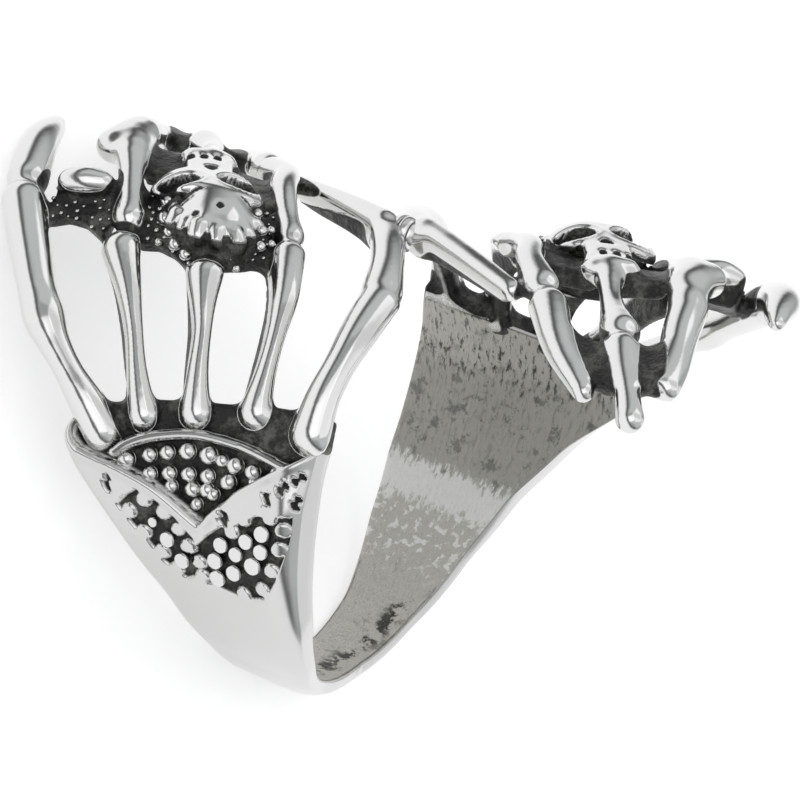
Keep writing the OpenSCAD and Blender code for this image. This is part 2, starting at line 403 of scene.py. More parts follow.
def antiqued_silver(name, shade, polish, mottle):
    """Polished silver-coloured metal with black left in its hollows and also painted as shade,
    and a rough inner wall with a painted highlight and painted glints.
    """
    material = bpy.data.materials.new(name)
    material.use_nodes = True
    silver = Nodes(material.node_tree)
    place = silver.add("ShaderNodeTexCoord", output="Object")
    fine = silver.noise(place, scale=2600, detail=4)
    broad = silver.noise(place, scale=260, detail=3)
    specks = silver.noise(place, scale=900, detail=5, roughness=0.7)
    cast = silver.tone("cast")
    streaks, painted_highlight, stain = inner_wall(silver, fine, specks)
    uneven = (broad - 0.5) * mottle + (fine - 0.5) * 0.3
    # The black covers the patina and also the painted shade on the walls of the bones' feet
    patina_and_shade_cover = silver.ramp(silver.tone("patina") + uneven, 0.3, 0.75)
    darker = (shade, shade, shade * 0.985, 1)
    lighter = (shade + 0.03, shade + 0.03, shade + 0.02, 1)
    # The rough wall's grey, with its painted highlight and painted glints
    rough_wall = silver.mix_colour(painted_highlight, CAST_GREY, PAINTED_HIGHLIGHT_GREY)
    bare = silver.mix_colour(cast, silver.mix_colour(broad, darker, lighter), rough_wall)
    black = silver.mix_colour(silver.ramp(specks, 0.46, 0.66), PATINA_AND_SHADE_BLACK, RUBBED_PATINA_AND_SHADE_BLACK)
    covered = silver.ramp(patina_and_shade_cover + cast * stain, 0.0, 1.0)
    relief = cast * (streaks * 2.4 + specks * 1.2) + patina_and_shade_cover * (fine * 0.5 + specks) + broad * 0.02
    shader = silver.add("ShaderNodeBsdfPrincipled", {}, {
        "Base Color": silver.mix_colour(covered, bare, black),
        "Metallic": 1 - patina_and_shade_cover * 0.55,
        "Roughness": polish + patina_and_shade_cover * 0.26 + cast * (0.22 - painted_highlight * 0.1) + (fine - 0.5) * 0.03,
        "Normal": silver.add(
            "ShaderNodeBump", {}, {"Strength": 0.8, "Distance": 0.00028, "Height": relief}
        ),
    })
    silver.add("ShaderNodeOutputMaterial", {}, {"Surface": shader}, output=None)
    return material


def finish_piece(piece, material):
    piece.data.materials.clear()
    piece.data.materials.append(material)
    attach(piece, "root")


def band_edges(turns):
    """Near and far edge of the band and share of the cuff's height, turns from the bottom."""
    columns = [np.interp(np.abs(EVEN_TURNS), SHANK[:, 0], SHANK[:, k]) for k in (1, 2, 3)]
    soft = [soften(EVEN_TURNS, column, SHANK_SOFTNESS) for column in columns]
    return [np.interp(turns, EVEN_TURNS, column) for column in soft]


def rolled(distance, height, roll):
    """How far a wall falls short of its height near an edge that is rounded over."""
    share = 1 - np.clip(distance / roll, 0, 1)
    return height * (1 - np.sqrt(np.maximum(1 - share * share, 0)))


def lay_out_uv(piece, across, along):
    """A map of the band laid out flat, in mm."""
    mesh = piece.data
    corners = np.zeros(len(mesh.loops), np.int32)
    mesh.loops.foreach_get("vertex_index", corners)
    flat = np.stack([across[corners], along[corners]], 1)
    layer = mesh.uv_layers.new(name="band")
    layer.data.foreach_set("uv", flat.astype(np.float32).ravel())


def faces_between(rows, columns):
    """Four-cornered faces between rows of points, where each row is closed to a ring."""
    index = np.arange(rows * columns).reshape(rows, columns)
    after = np.roll(index, -1, axis=1)
    return np.stack([index[:-1], after[:-1], after[1:], index[1:]], -1).reshape(-1, 4)


def band_mesh():
    """The band, from loops that run along it, across it outside and then back inside."""
    shank = np.arange(0, SHANK_END, SHANK_STEP)
    half = np.concatenate([shank, np.arange(SHANK_END, BAND_END + 0.01, CUFF_STEP)])
    turns = np.concatenate([-half[:0:-1], half])
    near, far, rise = band_edges(turns)
    # A cuff's own turn and place along the finger, which are the other's turned half round
    side = np.where(turns < 0, -1.0, 1.0)
    own_turn = 180 - np.abs(turns)
    top = SHANK_WALL + (CUFF_WALL - SHANK_WALL) * rise
    near_rim = EDGE_WALL + (CUFF_WALL - EDGE_WALL) * rise * NEAR_RIM
    far_rim = EDGE_WALL + (CUFF_WALL - EDGE_WALL) * rise * FAR_RIM
    near_roll = np.minimum(NEAR_ROLL, ROLL_OF_WIDTH * (far - near))
    far_roll = np.minimum(FAR_ROLL, ROLL_OF_WIDTH * (far - near))
    first = np.where(turns < 0, far, near)
    last = np.where(turns < 0, near, far)
    loops = []

    def fillet(edge, inwards, angles):
        for angle in angles:
            own = edge + inwards * FILLET * (1 - math.cos(angle))
            base = HOLLOW_R + spread(own_turn, edge) + FILLET * (1 - math.sin(angle))
            loops.append((own, base, 0 * own, 0 * own + (angle > math.pi / 4)))

    steps = np.linspace(0, 1, LOOPS_OUTSIDE)
    for share in steps - CROWDING * np.sin(2 * np.pi * steps) / (2 * np.pi):
        own = first + (last - first) * share
        wall = top - rolled(own - near, top - near_rim, near_roll)
        wall = wall - rolled(far - own, top - far_rim, far_roll)
        height, dark = cuff_relief(own_turn, own)
        wall = np.maximum(wall + height, THINNEST_WALL)
        loops.append((own, HOLLOW_R + spread(own_turn, own) + wall, dark, 0 * dark))
    fillet(last, -side, QUARTER)
    for share in np.linspace(0.97, 0.03, LOOPS_INSIDE):
        own = first + (last - first) * share
        loops.append((own, HOLLOW_R + spread(own_turn, own), 0 * own, 0 * own + 1))
    fillet(first, side, QUARTER[::-1])
    own, radius, dark, cast = (np.stack([loop[k] for loop in loops], 1) for k in range(4))
    along = side[:, None] * own
    angle = np.radians(turns)[:, None]
    points = np.stack([-radius * np.sin(angle), along, -radius * np.cos(angle)], -1)
    piece = put_mesh(
        "shank_and_cuffs", points.reshape(-1, 3), faces_between(*along.shape),
        patina=dark.ravel(), cast=cast.ravel(),
    )
    lay_out_uv(piece, np.repeat(turns, len(loops)) * TURN_MM, along.ravel())
    return piece


def close_up(mesh):
    """Doubled points merged and a face put over each opening, with all faces outwards."""
    shell = bmesh.new()
    shell.from_mesh(mesh)
    bmesh.ops.remove_doubles(shell, verts=shell.verts, dist=1e-9)
    bmesh.ops.holes_fill(shell, edges=[e for e in shell.edges if e.is_boundary], sides=0)
    bmesh.ops.recalc_face_normals(shell, faces=shell.faces)
    shell.to_mesh(mesh)
    shell.free()


band = band_mesh()
close_up(band.data)
finish_piece(band, antiqued_silver("band silver", shade=0.61, polish=0.20, mottle=0.25))
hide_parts("ring")

# Hands: five long bones of the palm stand on each cuff, and the fingers bend over the top to the
# other side, with a claw, an oval bone and dark webs between them. A small skull lies face up on
# the palm. It is all one silver casting, cut to the finger's round inside, black in its depths,
# and the walls of the bones' feet are painted dark as shade.

# Bones, as rows: turn off the top, place along the finger, depth of the centre, half thickness
LITTLE_BONES = [
    [77.4, 5.85, 0.7, 0.88], [73.2, 6.7, 0.4, 0.8], [68.9, 7.9, 0.25, 0.65],
    [64.9, 9.1, 0.25, 0.75], [61.5, 10, 0.3, 0.95], [57.5, 10.9, 0.4, 0.86],
    [51.2, 12.2, 0.6, 0.93], [43, 13.9, 0.75, 1],
]
LITTLE_CLAW = [
    [37.7, 14.6, 0.9, 0.95], [33, 15.2, 1.1, 0.93], [26.8, 15.9, 1.3, 0.84],
    [20.2, 16.45, 1.6, 0.62], [15.6, 16.9, 1.8, 0.38],
]
OVAL_BONE = [
    [35.4, 12.6, 0.35, 0.55], [34, 12.05, 0.3, 0.66], [32.6, 11.35, 0.35, 0.55],
]
RING_METACARPAL = [
    [71.9, 4.5, 0.85, 0.75], [64, 5.5, 0.8, 0.5], [57, 6.4, 0.8, 0.45], [50, 7.5, 0.8, 0.62],
    [43.5, 8.8, 0.9, 0.92],
]
RING_FINGER = [
    [36.5, 9.4, 0.7, 0.75], [31.6, 10.1, 0.7, 0.6], [25.7, 11, 0.7, 0.6], [17.6, 12.3, 0.8, 0.9],
    [7.4, 13.4, 1.1, 0.85],
]
RING_KNUCKLE = [
    [20.2, 12.9, 0.85, 0.8], [11, 12.8, 0.85, 0.8],
]
RING_TIP = [
    [5, 13.7, 1.25, 0.88], [-3.5, 14.3, 1.35, 0.8], [-13, 15.05, 1.6, 0.7],
    [-19.8, 15.45, 1.65, 0.62],
]
MIDDLE_METACARPAL = [
    [67.9, 2.4, 0.85, 0.75], [60, 3, 0.8, 0.52], [52.3, 3.6, 0.8, 0.44], [46.7, 4.2, 0.8, 0.6],
    [40.9, 4.9, 0.9, 0.9],
]
MIDDLE_FINGER = [
    [9.8, 9.2, 0.9, 0.7], [-0.8, 10.6, 1, 0.5], [-9.9, 12.1, 1.2, 0.9],
]
MIDDLE_KNUCKLE = [
    [7.5, 8.7, 0.8, 0.5], [11.7, 9.9, 0.8, 0.5],
]
MIDDLE_TIP = [
    [-15.6, 12.8, 1.2, 0.74], [-26, 14.2, 1.3, 0.55], [-33.6, 15.2, 1.3, 0.63],
]
INDEX_METACARPAL = [
    [63.3, 0, 0.85, 0.78], [54.5, 0.3, 0.8, 0.5], [46.1, 0.7, 0.8, 0.48], [37.8, 1.3, 0.9, 0.66],
    [26.4, 2.7, 1.4, 0.84],
]
INDEX_FINGER = [
    [20.8, 3.3, 1.2, 0.64], [16.1, 4.1, 1, 0.5], [8.3, 5.4, 0.7, 0.6], [1, 6.3, 0.7, 0.65],
    [-4.5, 7.6, 1, 0.82],
]
INDEX_TIP = [
    [-10, 8.6, 1.2, 0.88], [-22, 10.5, 1.25, 0.7], [-31.2, 12.7, 1.3, 0.49],
]
THUMB_METACARPAL = [
    [63.3, -2.8, 0.95, 0.95], [55.7, -2.7, 0.8, 0.82], [47.7, -2.7, 0.8, 0.76],
    [39.7, -2.6, 0.95, 0.9], [29.3, -2.3, 1.35, 1.02],
]
THUMB_FINGER = [
    [24.5, -1.9, 1.35, 0.92], [16, -1.1, 1.3, 0.78], [8.5, -0.2, 1.25, 0.78],
    [2, 0.7, 1.3, 0.82],
]
THUMB_BAR = [
    [2, 0.9, 0.9, 0.62], [-8, 6.5, 1.3, 0.52],
]
# The bones that reach in to the hollow's wall with a foot, and the round ones
FOOTED = [RING_METACARPAL, MIDDLE_METACARPAL, INDEX_METACARPAL, THUMB_METACARPAL]
ROUND = [
    LITTLE_BONES, LITTLE_CLAW, OVAL_BONE, RING_FINGER, RING_KNUCKLE, RING_TIP, MIDDLE_FINGER,
    MIDDLE_KNUCKLE, MIDDLE_TIP, INDEX_FINGER, INDEX_TIP, THUMB_FINGER, THUMB_BAR,
]
# A foot's depth and half thickness, and how far along the finger it leans
FOOT_DEPTH = 1.66
FOOT_HALF = 0.45
FOOT_LEAN = 0.8
# Fields of web, as their corners, with the depth of their middle. Those on the palm carry grains
PALM_WEBS = [
    ([[44.3, 12.7], [41.6, 12], [41, 11.2], [42.7, 10], [30.5, 10.6], [34.5, 13.2]], 1.3),
    ([[40.5, 8.6], [38.6, 7.8], [38.7, 7], [40.8, 5.8], [26, 6.8], [28, 10]], 1.3),
    ([[38.5, 5.4], [36.3, 4.7], [33.2, 3.9], [31.5, 3.2], [18, 4.6], [27, 6.8]], 1.3),
]
FINGER_WEBS = [
    ([[23, 10.8], [13, 11.8], [7, 10], [16, 9]], 1.4),
    ([[16, 4.6], [4, 6.3], [7, 9], [18, 7]], 1.4),
    ([[6, 0.8], [1, 0.9], [-8, 6.2], [-3, 4.6]], 1.62),
    ([[-16, 10.4], [-27, 12], [-28, 13.6], [-17, 12.8]], 1.5),
    ([[-13, 13.4], [-25, 14.6], [-20, 15.3], [-8, 14.4]], 1.5),
]
WEB_HALF = 0.45
# The plate that the bones stand on, from the cuff to the open gaps
PLATE = [
    [82, 6.2], [73.2, 6.6], [68.0, 4.1], [64.2, 1.6], [60.3, -1.0], [58.5, -3.2], [66, -3.5],
    [80, -0.5], [84, 1.5],
]
PLATE_HALF = 0.65
# How softly parts run into one another
FOOTED_BLEND, ROUND_BLEND = 0.16, 0.35
WEB_BLEND, PLATE_BLEND, PLATE_EDGE = 0.3, 0.4, 0.3
BONES_TO_WEBS, SKULL_TO_PALM, HAND_TO_HOLLOW = 0.55, 0.15, 0.12
# The block of cells that a hand is cast in: size of a cell, its two corners, and the largest
# distance to the metal that a cell keeps
CELL = 0.106
LOW = np.array([-15.3, -5.2, -0.6])
HIGH = np.array([9.3, 18.5, 13.9])
FAR = 1.2
HOLLOW_GAP = 0.02
# How much further than the box of its corners a field of the round surface can reach
FIELD_BOW = 0.8
# How far out from the surface other metal still keeps the polishing wheel off
SHELTERED = (0.25, 0.5, 0.9)
# A skull lies on its back: where, which way its chin points, and the height of its face. Its
# part of the block has its middle under the face and reaches to all sides
SKULL_PLACE = (-5.2, 7.1)
SKULL_HEADING = 35.0
SKULL_TOP = 12.42
SKULL_DROP, SKULL_REACH = 1.5, 6.2
# One side of a skull's face from above, from the brow to the chin: along it and across it
HALF_FACE = [
    [-0.8, 0], [-0.9, 1.2], [-0.62, 2.0], [-0.15, 2.4], [0.3, 2.55], [0.9, 2.35], [1.5, 1.9],
    [1.72, 1.4], [1.75, 1.05], [2.8, 1.05], [3.4, 1.15], [3.8, 0.8], [3.9, 0],
]
# The sockets stand askew to the rest: one is further from the brow than the other
SOCKET_MIDDLE = (0.33, 1.26)
SOCKET_HALVES = (0.80, 0.99)
SOCKETS_ASKEW = 0.2
SOCKET_DEPTH = 0.9
NOSE = [[1.3, -0.05], [1.85, 0.3], [1.85, -0.4]]
NOSE_DEPTH = 0.5
# Slots between the teeth: where they are across the mask, from where to where along it, half
# width and depth
TEETH_SLOTS = [0.84, 0.27, -0.34]
SLOT_FROM, SLOT_TO = 2.9, 3.45
SLOT_HALF, SLOT_DEPTH = 0.13, 0.35
# The mask: its thickness, its fall to the sides, where its chin begins and that one's fall, the
# height of the sockets' rims, and how deep the body under it reaches
MASK_THICK = 0.55
SIDE_FALL = 0.125
CHIN_FROM, CHIN_FALL = 3.3, 0.5
SOCKET_RIM = 0.07
BODY_DEPTH = 1.7
# The crown: how far its front lies under the face, its slope from there to the back, where its
# ridge runs and its fall from that, how far in its rim rolls over and by how much, and its foot
CROWN_DROP, CROWN_FRONT, CROWN_SLOPE = 0.06, -0.85, 0.33
CROWN_RIDGE, CROWN_FALL = -0.35, 0.17
ROLL_IN, ROLL_FALL = 1.5, 1.35
CROWN_FOOT = 3.2
# Crown of the skull from above: along it and across it
CROWN = [
    [0.9, 1.2], [-0.4, 1.45], [-1.0, 1.5], [-1.6, 1.4], [-2.2, 1.05], [-2.7, 0.5], [-3.0, -0.2],
    [-3.05, -1.0], [-2.8, -1.7], [-2.2, -2.15], [-1.5, -2.35], [-0.8, -2.3], [-0.3, -2.1],
    [0.9, -1.4],
]
# Curls at the crown's rim, and pits in the crown: along it, across it, size or depth
CURLS = [
    [-0.7, 1.4, 0.32], [-1.5, 1.4, 0.42], [-2.2, 1.0, 0.3], [-2.75, 0.35, 0.45],
    [-3.05, -0.5, 0.33], [-2.85, -1.4, 0.46], [-2.2, -2.05, 0.32], [-1.3, -2.35, 0.42],
]
CURL_DROP, CURL_LENGTH = 0.95, 0.35
CROWN_PITS = [[-1.9, -0.5, 0.12], [-2.55, -1.45, 0.5], [-2.1, 0.55, 0.3]]
CROWN_PIT_R = 0.13


def smooth_min(first, second, width):
    """The nearer of two distances, with the corner between them filled."""
    share = np.clip(0.5 + 0.5 * (second - first) / width, 0, 1)
    return second + (first - second) * share - width * share * (1 - share)


def empty_block():
    counts = np.ceil((HIGH - LOW) / CELL).astype(int)
    return np.full(counts, FAR, np.float32)


def part_of(block, low, high):
    """The stretch of a block between two corners, and the places of its cells."""
    start = np.maximum(np.floor((low - LOW) / CELL).astype(int), 0)
    stop = np.minimum(np.ceil((high - LOW) / CELL).astype(int) + 1, block.shape)
    window = tuple(slice(a, b) for a, b in zip(start, stop))
    axes = [LOW[i] + CELL * np.arange(start[i], stop[i]) for i in range(3)]
    x, y, z = np.meshgrid(*axes, indexing="ij", sparse=True)
    return window, x.astype(np.float32), y.astype(np.float32), z.astype(np.float32)


def finer(rows, parts=4):
    """Rows of a bone's table on a smooth line through them."""
    rows = np.array(rows, float)
    ends = np.concatenate([2 * rows[:1] - rows[1:2], rows, 2 * rows[-1:] - rows[-2:-1]])
    made = []
    for i in range(len(rows) - 1):
        p0, p1, p2, p3 = ends[i:i + 4]
        for k in range(parts):
            t = k / parts
            made.append(0.5 * (
                2 * p1 + (p2 - p0) * t + (2 * p0 - 5 * p1 + 4 * p2 - p3) * t * t
                + (3 * p1 - p0 - 3 * p2 + p3) * t ** 3
            ))
    made.append(rows[-1])
    return np.array(made)


def bone_stretch(x, y, z, ends, rows, foot):
    """Distance to a bone between two of its rows, and in its foot how far under its middle."""
    (a, b), (first, last) = ends, rows
    line = b - a
    share = ((x - a[0]) * line[0] + (y - a[1]) * line[1] + (z - a[2]) * line[2]) / (line @ line)
    share = np.clip(share, 0, 1)
    vx, vy, vz = (p - (a[k] + share * line[k]) for k, p in enumerate((x, y, z)))
    half = first[3] + (last[3] - first[3]) * share
    inward = 0 * share
    if foot > 0:
        size = np.hypot(x, z)
        depth = foot - (first[2] + (last[2] - first[2]) * share)
        inward = np.clip(-(vx * x + vz * z) / size, 0, depth)
        vx = vx + inward * x / size
        vz = vz + inward * z / size
        vy = vy - FOOT_LEAN * inward / depth
        half = half + (FOOT_HALF - half) * inward / depth
    return np.sqrt(vx * vx + vy * vy + vz * vz) - half, inward


def add_bone(block, below, rows, foot, blend):
    """A round bone. With a foot it reaches in to the finger, thinner and leaning outwards."""
    rows = finer(rows)
    centres = around(rows[:, 0], rows[:, 1], crest(rows[:, 0], rows[:, 1]) - rows[:, 2])
    reach = rows[:, 3].max() + FAR + foot
    window, *_ = part_of(block, centres.min(0) - reach, centres.max(0) + reach)
    local = np.full(block[window].shape, 9.0, np.float32)
    under = np.zeros(local.shape, np.float32)
    origin = [s.start for s in window]
    for k in range(len(rows) - 1):
        ends = centres[k:k + 2]
        near, x, y, z = part_of(block, ends.min(0) - reach, ends.max(0) + reach)
        inner = tuple(slice(s.start - o, s.stop - o) for s, o in zip(near, origin))
        d, inward = bone_stretch(x, y, z, ends, rows[k:k + 2], foot)
        under[inner] = np.where(d < local[inner], inward, under[inner])
        local[inner] = np.minimum(local[inner], d)
    below[window] = np.where(local < block[window], under, below[window])
    block[window] = np.minimum(smooth_min(block[window], local, blend), FAR)


def rounded_top(edge, over, corner):
    """Distance to a shape that stands inside an outline and under a top, its rim rounded."""
    edge, over = edge + corner, over + corner
    outside = np.hypot(np.maximum(edge, 0), np.maximum(over, 0))
    return outside + np.minimum(np.maximum(edge, over), 0) - corner


def add_field(block, corners, sink, half, blend, edge=0.15):
    """A sheet that follows the hand's surface inside an outline, with its edge rounded."""
    outline = np.array(corners)
    radius = crest(outline[:, 0], outline[:, 1]) - sink
    places = around(outline[:, 0], outline[:, 1], radius)
    reach = FAR + half + FIELD_BOW
    window, x, y, z = part_of(block, places.min(0) - reach, places.max(0) + reach)
    turn = np.degrees(np.arctan2(-x, z)) + 0 * y
    along = y + 0 * turn
    distance = np.hypot(x, z) + 0 * y
    within = field_distance(turn, along, corners)
    thick = np.abs(distance - (crest(turn, along) - sink)) - half
    d = rounded_top(within, thick, edge)
    block[window] = np.minimum(smooth_min(block[window], d.astype(np.float32), blend), FAR)


def rod(u, v, w, start, end, half):
    """Distance to a straight rod with round ends."""
    line = np.subtract(end, start, dtype=float)
    offsets = [place - begin for place, begin in zip((u, v, w), start)]
    share = sum(offset * part for offset, part in zip(offsets, line)) / (line @ line)
    share = np.clip(share, 0, 1)
    squares = [(offset - share * part) ** 2 for offset, part in zip(offsets, line)]
    return np.sqrt(sum(squares)) - half


def socket_distance(u, v, side):
    """Distance on a skull's face to an eye socket, which is pointed at both ends."""
    du = u + SOCKETS_ASKEW * v - SOCKET_MIDDLE[0]
    dv = v - SOCKET_MIDDLE[1] * side
    high, long = SOCKET_HALVES
    bow = (high * high + long * long) / (2 * high)
    return np.maximum(np.hypot(du - bow + high, dv), np.hypot(du + bow - high, dv)) - bow


def face_height(u, v, sockets):
    """Height of the mask, which falls to its sides and its chin, with a rim round each socket."""
    height = -SIDE_FALL * v * v - CHIN_FALL * np.maximum(u - CHIN_FROM, 0) ** 2
    return height + SOCKET_RIM * np.exp(-((sockets - 0.1) / 0.11) ** 2) * (sockets > -0.1)


def crown_height(u, v):
    """Height of the crown's dome before its rim rolls over."""
    fall = CROWN_FALL * (v - CROWN_RIDGE) ** 2
    return -CROWN_DROP + CROWN_SLOPE * (u - CROWN_FRONT) - fall


def skull_mask(u, v, w, sockets, face):
    """Distance to the mask on its body, with sockets, nose and teeth cut in, and their black."""
    other = [[a, -b] for a, b in HALF_FACE[-2:0:-1]]
    edge = field_distance(u, v, HALF_FACE + other, 1.0)
    mask = rounded_top(edge, np.maximum(w - face, face - MASK_THICK - w), 0.16)
    body = np.maximum(edge + 0.4, np.maximum(w - face + 0.3, -(w + BODY_DEPTH)))
    mask = smooth_min(mask, body, 0.1)
    hollows = [
        (sockets + 0.3 * (face - w), SOCKET_DEPTH),
        (field_distance(u, v, NOSE, 1.0), NOSE_DEPTH),
    ]
    for place in TEETH_SLOTS:
        slot = rod(u, v, 0 * w, (SLOT_FROM, place, 0), (SLOT_TO, place, 0), SLOT_HALF)
        hollows.append((slot, SLOT_DEPTH))
    black = np.zeros(w.shape)
    for hollow, depth in hollows:
        mask = np.maximum(mask, -np.maximum(hollow, face - depth - w))
        inside = smooth_step(0.05, -0.03, hollow) * smooth_step(0.05, 0.16, face - w)
        black = np.maximum(black, inside)
    under = smooth_step(0.45, 0.6, face - w) * smooth_step(0.3, 0.1, mask)
    return mask, np.maximum(black, under)


def skull_crown(u, v, w, sockets, face):
    """Distance to the crown with its curls and pits, and how black the pits are."""
    rim = field_distance(u, v, CROWN, 1.0)
    inward = 1 - np.clip(-rim / ROLL_IN, 0, 1)
    top = crown_height(np.minimum(u, CROWN_FRONT), v)
    top = top - ROLL_FALL * (1 - np.sqrt(1 - inward * inward))
    crown = rounded_top(rim, w - top, 0.25)
    crown = np.maximum(crown, -np.maximum(sockets, face - SOCKET_DEPTH - w))
    for a, b, half in CURLS:
        low = crown_height(a, b) - CURL_DROP
        end = (a * 0.9, b * 0.9, low + CURL_LENGTH)
        crown = smooth_min(crown, rod(u, v, w, (a, b, low), end, half), 0.25)
    black = np.zeros(w.shape)
    for a, b, depth in CROWN_PITS:
        level = crown_height(a, b) - depth
        pit = np.sqrt((u - a) ** 2 + (v - b) ** 2 + (w - level) ** 2) - CROWN_PIT_R
        crown = np.maximum(crown, -pit)
        black = np.maximum(black, smooth_step(0.12, 0.02, pit))
    return np.maximum(crown, -(w + CROWN_FOOT)), black


def add_skull(block, ink):
    """A skull, face up: a low mask in front of a domed crown. Ink marks what is left black."""
    middle = np.array([*SKULL_PLACE, SKULL_TOP - SKULL_DROP])
    window, x, y, z = part_of(block, middle - SKULL_REACH, middle + SKULL_REACH)
    # Along the skull from crown to chin, across it, and up from the middle of its face
    heading = math.radians(SKULL_HEADING)
    px, py = x - SKULL_PLACE[0], y - SKULL_PLACE[1]
    u = px * math.cos(heading) + py * math.sin(heading) + 0 * z
    v = -px * math.sin(heading) + py * math.cos(heading) + 0 * z
    w = z - SKULL_TOP + 0 * u
    sockets = np.minimum(socket_distance(u, v, 1), socket_distance(u, v, -1))
    face = face_height(u, v, sockets)
    mask, mask_black = skull_mask(u, v, w, sockets, face)
    crown, crown_black = skull_crown(u, v, w, sockets, face)
    cleft = smooth_step(0.2, 0.05, np.abs(mask)) * smooth_step(0.2, 0.05, np.abs(crown))
    cleft = cleft * smooth_step(0.05, 0.2, face - w)
    both = smooth_min(mask, crown, 0.05)
    skirt = smooth_step(1.4, 1.9, -w) * smooth_step(0.3, 0.1, both)
    ink[window] = np.max([ink[window], mask_black, crown_black, cleft, skirt], axis=0)
    block[window] = np.minimum(np.minimum(block[window], both.astype(np.float32)), FAR)


def sample(block, points):
    """Value of a block between its cells."""
    cell = np.clip((points - LOW) / CELL, 0, np.array(block.shape) - 1.001)
    base = cell.astype(int)
    share = cell - base
    value = 0
    for corner in np.ndindex(2, 2, 2):
        weight = np.where(corner, share, 1 - share).prod(1)
        value = value + weight * block[tuple((base + corner).T)]
    return value


def slope(block, points):
    """Unit direction out of the metal."""
    steps = np.eye(3) * CELL
    out = np.stack([sample(block, points + s) - sample(block, points - s) for s in steps], 1)
    return out / np.maximum(np.linalg.norm(out, axis=1, keepdims=True), 1e-9)


def skin(block):
    """Points and four-cornered faces of the surface where a block's value is 0."""
    inside = block < 0
    nx, ny, nz = block.shape
    corners = list(np.ndindex(2, 2, 2))
    count = np.zeros((nx - 1, ny - 1, nz - 1), np.int8)
    for i, j, k in corners:
        count += inside[i:nx - 1 + i, j:ny - 1 + j, k:nz - 1 + k]
    cells = np.argwhere((count > 0) & (count < 8))
    number = np.full(count.shape, -1, np.int64)
    number[tuple(cells.T)] = np.arange(len(cells))
    total = np.zeros((len(cells), 3))
    hits = np.zeros(len(cells))
    for a in corners:
        for axis in range(3):
            if a[axis]:
                continue
            b = list(a)
            b[axis] = 1
            va = block[tuple((cells + a).T)]
            vb = block[tuple((cells + b).T)]
            crossed = (va < 0) != (vb < 0)
            share = np.where(crossed, va / np.where(va == vb, 1, va - vb), 0)
            spot = np.array(a) + share[:, None] * (np.array(b) - np.array(a))
            total += np.where(crossed[:, None], spot, 0)
            hits += crossed
    points = LOW + (cells + total / hits[:, None]) * CELL
    faces = []
    for axis in range(3):
        first = [slice(None)] * 3
        second = [slice(None)] * 3
        first[axis], second[axis] = slice(0, -1), slice(1, None)
        edge = inside[tuple(first)] != inside[tuple(second)]
        others = [k for k in range(3) if k != axis]
        spots = np.argwhere(edge)
        keep = (spots[:, others] > 0).all(1)
        spots = spots[keep]
        flips = inside[tuple(first)][tuple(spots.T)]
        around_edge = []
        for da, db in ((0, 0), (1, 0), (1, 1), (0, 1)):
            cell = spots.copy()
            cell[:, others[0]] -= da
            cell[:, others[1]] -= db
            around_edge.append(number[tuple(cell.T)])
        quad = np.stack(around_edge, 1)
        quad = np.where((flips ^ (axis == 1))[:, None], quad, quad[:, ::-1])
        faces.append(quad)
    return points, np.concatenate(faces)


def soft_block(block):
    """A block with its values spread a little to the cells beside them."""
    for axis in range(3):
        before, after = np.roll(block, 1, axis), np.roll(block, -1, axis)
        block = 0.25 * before + 0.5 * block + 0.25 * after
    return block


def hand_blocks():
    """The whole hand, its parts that are polished, depth below the bones' middles, and ink."""
    bones, webs, skull = empty_block(), empty_block(), empty_block()
    below, ink = np.zeros_like(bones), np.zeros_like(bones)
    for rows in FOOTED:
        add_bone(bones, below, rows, FOOT_DEPTH, FOOTED_BLEND)
    for rows in ROUND:
        add_bone(bones, below, rows, 0, ROUND_BLEND)
    add_skull(skull, ink)
    for corners, sink in PALM_WEBS + FINGER_WEBS:
        add_field(webs, corners, sink, WEB_HALF, WEB_BLEND)
    add_field(webs, PLATE, PLATE_DROP + PLATE_HALF, PLATE_HALF, PLATE_BLEND, PLATE_EDGE)
    bones = soft_block(soft_block(bones))
    whole = smooth_min(bones, webs, BONES_TO_WEBS)
    whole = smooth_min(whole, skull, SKULL_TO_PALM)
    _, x, y, z = part_of(whole, LOW, HIGH)
    hollow = HOLLOW_R + HOLLOW_GAP - (np.hypot(x, z) + 0 * y)
    hollow = hollow[:whole.shape[0], :whole.shape[1], :whole.shape[2]]
    whole = soft_block(-smooth_min(-whole, -hollow, HAND_TO_HOLLOW))
    return whole, np.minimum(bones, skull), below, ink


def hand_mesh():
    """Points and faces of the left hand, how dark each point is, and which meet the finger."""
    whole, bare, below, ink = hand_blocks()
    points, faces = skin(whole)
    for _ in range(2):
        points = points - sample(whole, points)[:, None] * slope(whole, points)
    out = slope(whole, points)
    hidden = 0
    for reach in SHELTERED:
        hidden = hidden + np.clip((reach - sample(whole, points + out * reach)) / reach, 0, 1)
    radius = np.hypot(points[:, 0], points[:, 2])
    web = smooth_step(0.03, 0.16, sample(bare, points))
    # Painted shade: the walls of the bones' feet, below their middles, are made dark, which stands
    # in for the dark reflection along the bones' sides
    wall = smooth_step(0.05, 0.5, sample(below, points))
    dark = web + smooth_step(0.45, 1.3, hidden) + 0.85 * wall + sample(ink, points)
    inner = smooth_step(0.2, 0.05, radius - HOLLOW_R)
    return points, faces, np.clip(dark, 0, 1) * (1 - inner * 0.8), inner


def half_turn(points):
    return points * np.array([-1, -1, 1])


